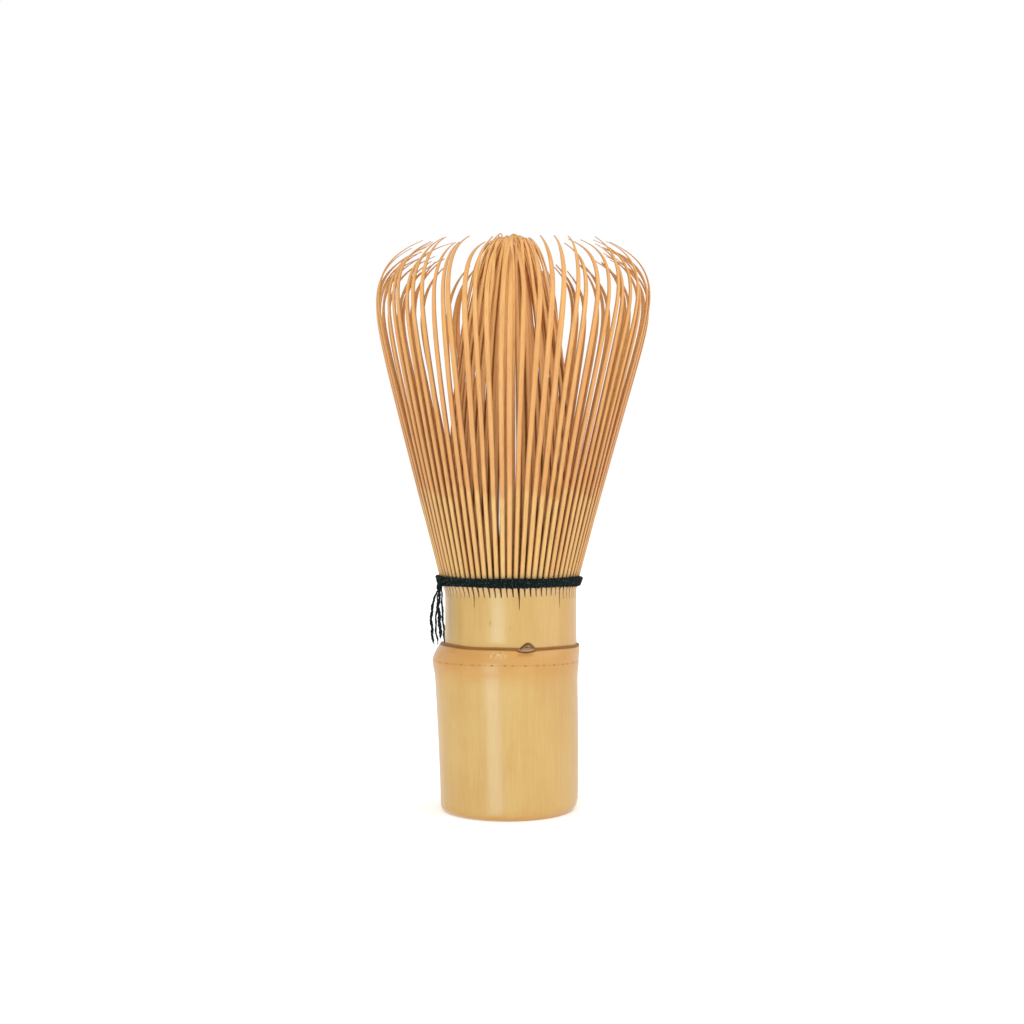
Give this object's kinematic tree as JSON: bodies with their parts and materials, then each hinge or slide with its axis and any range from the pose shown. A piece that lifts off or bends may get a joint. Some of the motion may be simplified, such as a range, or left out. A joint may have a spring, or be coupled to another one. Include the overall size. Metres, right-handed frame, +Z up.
{
  "type": "bamboo tea whisk",
  "caption": "Bamboo tea whisk: a short culm handle with a node ridge, split into a flared cage of fine outer tines round a closed inner bundle, laced with dark thread.",
  "frame": {"origin": "centre of the base, at the mouth of the culm's lower bore", "axes": "+Z up along the culm to the tips of the tines; -Y faces the viewer, and the thread's knot sits at the left, a little towards the front"},
  "size_m": [0.0533, 0.0538, 0.1117],
  "materials": {
    "bamboo_culm": "polished natural bamboo skin with fine vertical fibres and a soft gloss",
    "bamboo_pith": "matt inner bamboo, pale and papery",
    "outer_tine": "shaved bamboo strip, satin, paler skin near the root and warmer towards the tip",
    "inner_tine": "shaved inner bamboo strip, matt to satin",
    "thread": "dark green-black twisted cotton thread"
  },
  "bodies": {
    "whisk_body": {"handle": "bamboo_culm", "node_septum": "bamboo_pith", "thread_outer_turns": "thread", "thread_inner_turn": "thread", "thread_knot": "thread"},
    "outer_group_01": {"outer_tines_01": "outer_tine"},
    "outer_group_02": {"outer_tines_02": "outer_tine"},
    "outer_group_03": {"outer_tines_03": "outer_tine"},
    "outer_group_04": {"outer_tines_04": "outer_tine"},
    "outer_group_05": {"outer_tines_05": "outer_tine"},
    "outer_group_06": {"outer_tines_06": "outer_tine"},
    "outer_group_07": {"outer_tines_07": "outer_tine"},
    "outer_group_08": {"outer_tines_08": "outer_tine"},
    "outer_group_09": {"outer_tines_09": "outer_tine"},
    "outer_group_10": {"outer_tines_10": "outer_tine"},
    "outer_group_11": {"outer_tines_11": "outer_tine"},
    "outer_group_12": {"outer_tines_12": "outer_tine"},
    "outer_group_13": {"outer_tines_13": "outer_tine"},
    "outer_group_14": {"outer_tines_14": "outer_tine"},
    "outer_group_15": {"outer_tines_15": "outer_tine"},
    "outer_group_16": {"outer_tines_16": "outer_tine"},
    "outer_group_17": {"outer_tines_17": "outer_tine"},
    "outer_group_18": {"outer_tines_18": "outer_tine"},
    "outer_group_19": {"outer_tines_19": "outer_tine"},
    "outer_group_20": {"outer_tines_20": "outer_tine"},
    "outer_group_21": {"outer_tines_21": "outer_tine"},
    "outer_group_22": {"outer_tines_22": "outer_tine"},
    "outer_group_23": {"outer_tines_23": "outer_tine"},
    "outer_group_24": {"outer_tines_24": "outer_tine"},
    "inner_group_01": {"inner_tines_01": "inner_tine"},
    "inner_group_02": {"inner_tines_02": "inner_tine"},
    "inner_group_03": {"inner_tines_03": "inner_tine"},
    "inner_group_04": {"inner_tines_04": "inner_tine"},
    "inner_group_05": {"inner_tines_05": "inner_tine"},
    "inner_group_06": {"inner_tines_06": "inner_tine"},
    "inner_group_07": {"inner_tines_07": "inner_tine"},
    "inner_group_08": {"inner_tines_08": "inner_tine"},
    "inner_group_09": {"inner_tines_09": "inner_tine"},
    "inner_group_10": {"inner_tines_10": "inner_tine"},
    "inner_group_11": {"inner_tines_11": "inner_tine"},
    "inner_group_12": {"inner_tines_12": "inner_tine"},
    "thread_ends": {"thread_end_1": "thread", "thread_end_2": "thread", "thread_end_3": "thread", "thread_end_4": "thread"}
  },
  "joints": [
    {"name": "outer_flex_01", "type": "hinge", "parent": "whisk_body", "child": "outer_group_01", "pos_m": [0.0131, 0, 0.0446], "axis": [0, 1, 0], "range_deg": [-4, 6], "stiffness_Nm_per_rad": 0.04},
    {"name": "outer_flex_02", "type": "hinge", "parent": "whisk_body", "child": "outer_group_02", "pos_m": [0.01265, 0.00339, 0.0446], "axis": [-0.2588, 0.9659, 0], "range_deg": [-4, 6], "stiffness_Nm_per_rad": 0.04},
    {"name": "outer_flex_03", "type": "hinge", "parent": "whisk_body", "child": "outer_group_03", "pos_m": [0.01134, 0.00655, 0.0446], "axis": [-0.5, 0.866, 0], "range_deg": [-4, 6], "stiffness_Nm_per_rad": 0.04},
    {"name": "outer_flex_04", "type": "hinge", "parent": "whisk_body", "child": "outer_group_04", "pos_m": [0.00926, 0.00926, 0.0446], "axis": [-0.7071, 0.7071, 0], "range_deg": [-4, 6], "stiffness_Nm_per_rad": 0.04},
    {"name": "outer_flex_05", "type": "hinge", "parent": "whisk_body", "child": "outer_group_05", "pos_m": [0.00655, 0.01134, 0.0446], "axis": [-0.866, 0.5, 0], "range_deg": [-4, 6], "stiffness_Nm_per_rad": 0.04},
    {"name": "outer_flex_06", "type": "hinge", "parent": "whisk_body", "child": "outer_group_06", "pos_m": [0.00339, 0.01265, 0.0446], "axis": [-0.9659, 0.2588, 0], "range_deg": [-4, 6], "stiffness_Nm_per_rad": 0.04},
    {"name": "outer_flex_07", "type": "hinge", "parent": "whisk_body", "child": "outer_group_07", "pos_m": [0, 0.0131, 0.0446], "axis": [-1, 0, 0], "range_deg": [-4, 6], "stiffness_Nm_per_rad": 0.04},
    {"name": "outer_flex_08", "type": "hinge", "parent": "whisk_body", "child": "outer_group_08", "pos_m": [-0.00339, 0.01265, 0.0446], "axis": [-0.9659, -0.2588, 0], "range_deg": [-4, 6], "stiffness_Nm_per_rad": 0.04},
    {"name": "outer_flex_09", "type": "hinge", "parent": "whisk_body", "child": "outer_group_09", "pos_m": [-0.00655, 0.01134, 0.0446], "axis": [-0.866, -0.5, 0], "range_deg": [-4, 6], "stiffness_Nm_per_rad": 0.04},
    {"name": "outer_flex_10", "type": "hinge", "parent": "whisk_body", "child": "outer_group_10", "pos_m": [-0.00926, 0.00926, 0.0446], "axis": [-0.7071, -0.7071, 0], "range_deg": [-4, 6], "stiffness_Nm_per_rad": 0.04},
    {"name": "outer_flex_11", "type": "hinge", "parent": "whisk_body", "child": "outer_group_11", "pos_m": [-0.01134, 0.00655, 0.0446], "axis": [-0.5, -0.866, 0], "range_deg": [-4, 6], "stiffness_Nm_per_rad": 0.04},
    {"name": "outer_flex_12", "type": "hinge", "parent": "whisk_body", "child": "outer_group_12", "pos_m": [-0.01265, 0.00339, 0.0446], "axis": [-0.2588, -0.9659, 0], "range_deg": [-4, 6], "stiffness_Nm_per_rad": 0.04},
    {"name": "outer_flex_13", "type": "hinge", "parent": "whisk_body", "child": "outer_group_13", "pos_m": [-0.0131, 0, 0.0446], "axis": [0, -1, 0], "range_deg": [-4, 6], "stiffness_Nm_per_rad": 0.04},
    {"name": "outer_flex_14", "type": "hinge", "parent": "whisk_body", "child": "outer_group_14", "pos_m": [-0.01265, -0.00339, 0.0446], "axis": [0.2588, -0.9659, 0], "range_deg": [-4, 6], "stiffness_Nm_per_rad": 0.04},
    {"name": "outer_flex_15", "type": "hinge", "parent": "whisk_body", "child": "outer_group_15", "pos_m": [-0.01134, -0.00655, 0.0446], "axis": [0.5, -0.866, 0], "range_deg": [-4, 6], "stiffness_Nm_per_rad": 0.04},
    {"name": "outer_flex_16", "type": "hinge", "parent": "whisk_body", "child": "outer_group_16", "pos_m": [-0.00926, -0.00926, 0.0446], "axis": [0.7071, -0.7071, 0], "range_deg": [-4, 6], "stiffness_Nm_per_rad": 0.04},
    {"name": "outer_flex_17", "type": "hinge", "parent": "whisk_body", "child": "outer_group_17", "pos_m": [-0.00655, -0.01134, 0.0446], "axis": [0.866, -0.5, 0], "range_deg": [-4, 6], "stiffness_Nm_per_rad": 0.04},
    {"name": "outer_flex_18", "type": "hinge", "parent": "whisk_body", "child": "outer_group_18", "pos_m": [-0.00339, -0.01265, 0.0446], "axis": [0.9659, -0.2588, 0], "range_deg": [-4, 6], "stiffness_Nm_per_rad": 0.04},
    {"name": "outer_flex_19", "type": "hinge", "parent": "whisk_body", "child": "outer_group_19", "pos_m": [0, -0.0131, 0.0446], "axis": [1, 0, 0], "range_deg": [-4, 6], "stiffness_Nm_per_rad": 0.04},
    {"name": "outer_flex_20", "type": "hinge", "parent": "whisk_body", "child": "outer_group_20", "pos_m": [0.00339, -0.01265, 0.0446], "axis": [0.9659, 0.2588, 0], "range_deg": [-4, 6], "stiffness_Nm_per_rad": 0.04},
    {"name": "outer_flex_21", "type": "hinge", "parent": "whisk_body", "child": "outer_group_21", "pos_m": [0.00655, -0.01134, 0.0446], "axis": [0.866, 0.5, 0], "range_deg": [-4, 6], "stiffness_Nm_per_rad": 0.04},
    {"name": "outer_flex_22", "type": "hinge", "parent": "whisk_body", "child": "outer_group_22", "pos_m": [0.00926, -0.00926, 0.0446], "axis": [0.7071, 0.7071, 0], "range_deg": [-4, 6], "stiffness_Nm_per_rad": 0.04},
    {"name": "outer_flex_23", "type": "hinge", "parent": "whisk_body", "child": "outer_group_23", "pos_m": [0.01134, -0.00655, 0.0446], "axis": [0.5, 0.866, 0], "range_deg": [-4, 6], "stiffness_Nm_per_rad": 0.04},
    {"name": "outer_flex_24", "type": "hinge", "parent": "whisk_body", "child": "outer_group_24", "pos_m": [0.01265, -0.00339, 0.0446], "axis": [0.2588, 0.9659, 0], "range_deg": [-4, 6], "stiffness_Nm_per_rad": 0.04},
    {"name": "inner_flex_01", "type": "hinge", "parent": "whisk_body", "child": "inner_group_01", "pos_m": [0.0119, 0, 0.0446], "axis": [0, 1, 0], "range_deg": [0, 6], "stiffness_Nm_per_rad": 0.012},
    {"name": "inner_flex_02", "type": "hinge", "parent": "whisk_body", "child": "inner_group_02", "pos_m": [0.01031, 0.00595, 0.0446], "axis": [-0.5, 0.866, 0], "range_deg": [0, 6], "stiffness_Nm_per_rad": 0.012},
    {"name": "inner_flex_03", "type": "hinge", "parent": "whisk_body", "child": "inner_group_03", "pos_m": [0.00595, 0.01031, 0.0446], "axis": [-0.866, 0.5, 0], "range_deg": [0, 6], "stiffness_Nm_per_rad": 0.012},
    {"name": "inner_flex_04", "type": "hinge", "parent": "whisk_body", "child": "inner_group_04", "pos_m": [0, 0.0119, 0.0446], "axis": [-1, 0, 0], "range_deg": [0, 6], "stiffness_Nm_per_rad": 0.012},
    {"name": "inner_flex_05", "type": "hinge", "parent": "whisk_body", "child": "inner_group_05", "pos_m": [-0.00595, 0.01031, 0.0446], "axis": [-0.866, -0.5, 0], "range_deg": [0, 6], "stiffness_Nm_per_rad": 0.012},
    {"name": "inner_flex_06", "type": "hinge", "parent": "whisk_body", "child": "inner_group_06", "pos_m": [-0.01031, 0.00595, 0.0446], "axis": [-0.5, -0.866, 0], "range_deg": [0, 6], "stiffness_Nm_per_rad": 0.012},
    {"name": "inner_flex_07", "type": "hinge", "parent": "whisk_body", "child": "inner_group_07", "pos_m": [-0.0119, 0, 0.0446], "axis": [0, -1, 0], "range_deg": [0, 6], "stiffness_Nm_per_rad": 0.012},
    {"name": "inner_flex_08", "type": "hinge", "parent": "whisk_body", "child": "inner_group_08", "pos_m": [-0.01031, -0.00595, 0.0446], "axis": [0.5, -0.866, 0], "range_deg": [0, 6], "stiffness_Nm_per_rad": 0.012},
    {"name": "inner_flex_09", "type": "hinge", "parent": "whisk_body", "child": "inner_group_09", "pos_m": [-0.00595, -0.01031, 0.0446], "axis": [0.866, -0.5, 0], "range_deg": [0, 6], "stiffness_Nm_per_rad": 0.012},
    {"name": "inner_flex_10", "type": "hinge", "parent": "whisk_body", "child": "inner_group_10", "pos_m": [0, -0.0119, 0.0446], "axis": [1, 0, 0], "range_deg": [0, 6], "stiffness_Nm_per_rad": 0.012},
    {"name": "inner_flex_11", "type": "hinge", "parent": "whisk_body", "child": "inner_group_11", "pos_m": [0.00595, -0.01031, 0.0446], "axis": [0.866, 0.5, 0], "range_deg": [0, 6], "stiffness_Nm_per_rad": 0.012},
    {"name": "inner_flex_12", "type": "hinge", "parent": "whisk_body", "child": "inner_group_12", "pos_m": [0.01031, -0.00595, 0.0446], "axis": [0.5, 0.866, 0], "range_deg": [0, 6], "stiffness_Nm_per_rad": 0.012},
    {"name": "thread_ends_swing", "type": "hinge", "parent": "whisk_body", "child": "thread_ends", "pos_m": [-0.01332, -0.00708, 0.0426], "axis": [0.4695, -0.8829, 0], "range_deg": [-70, 0]}
  ]
}
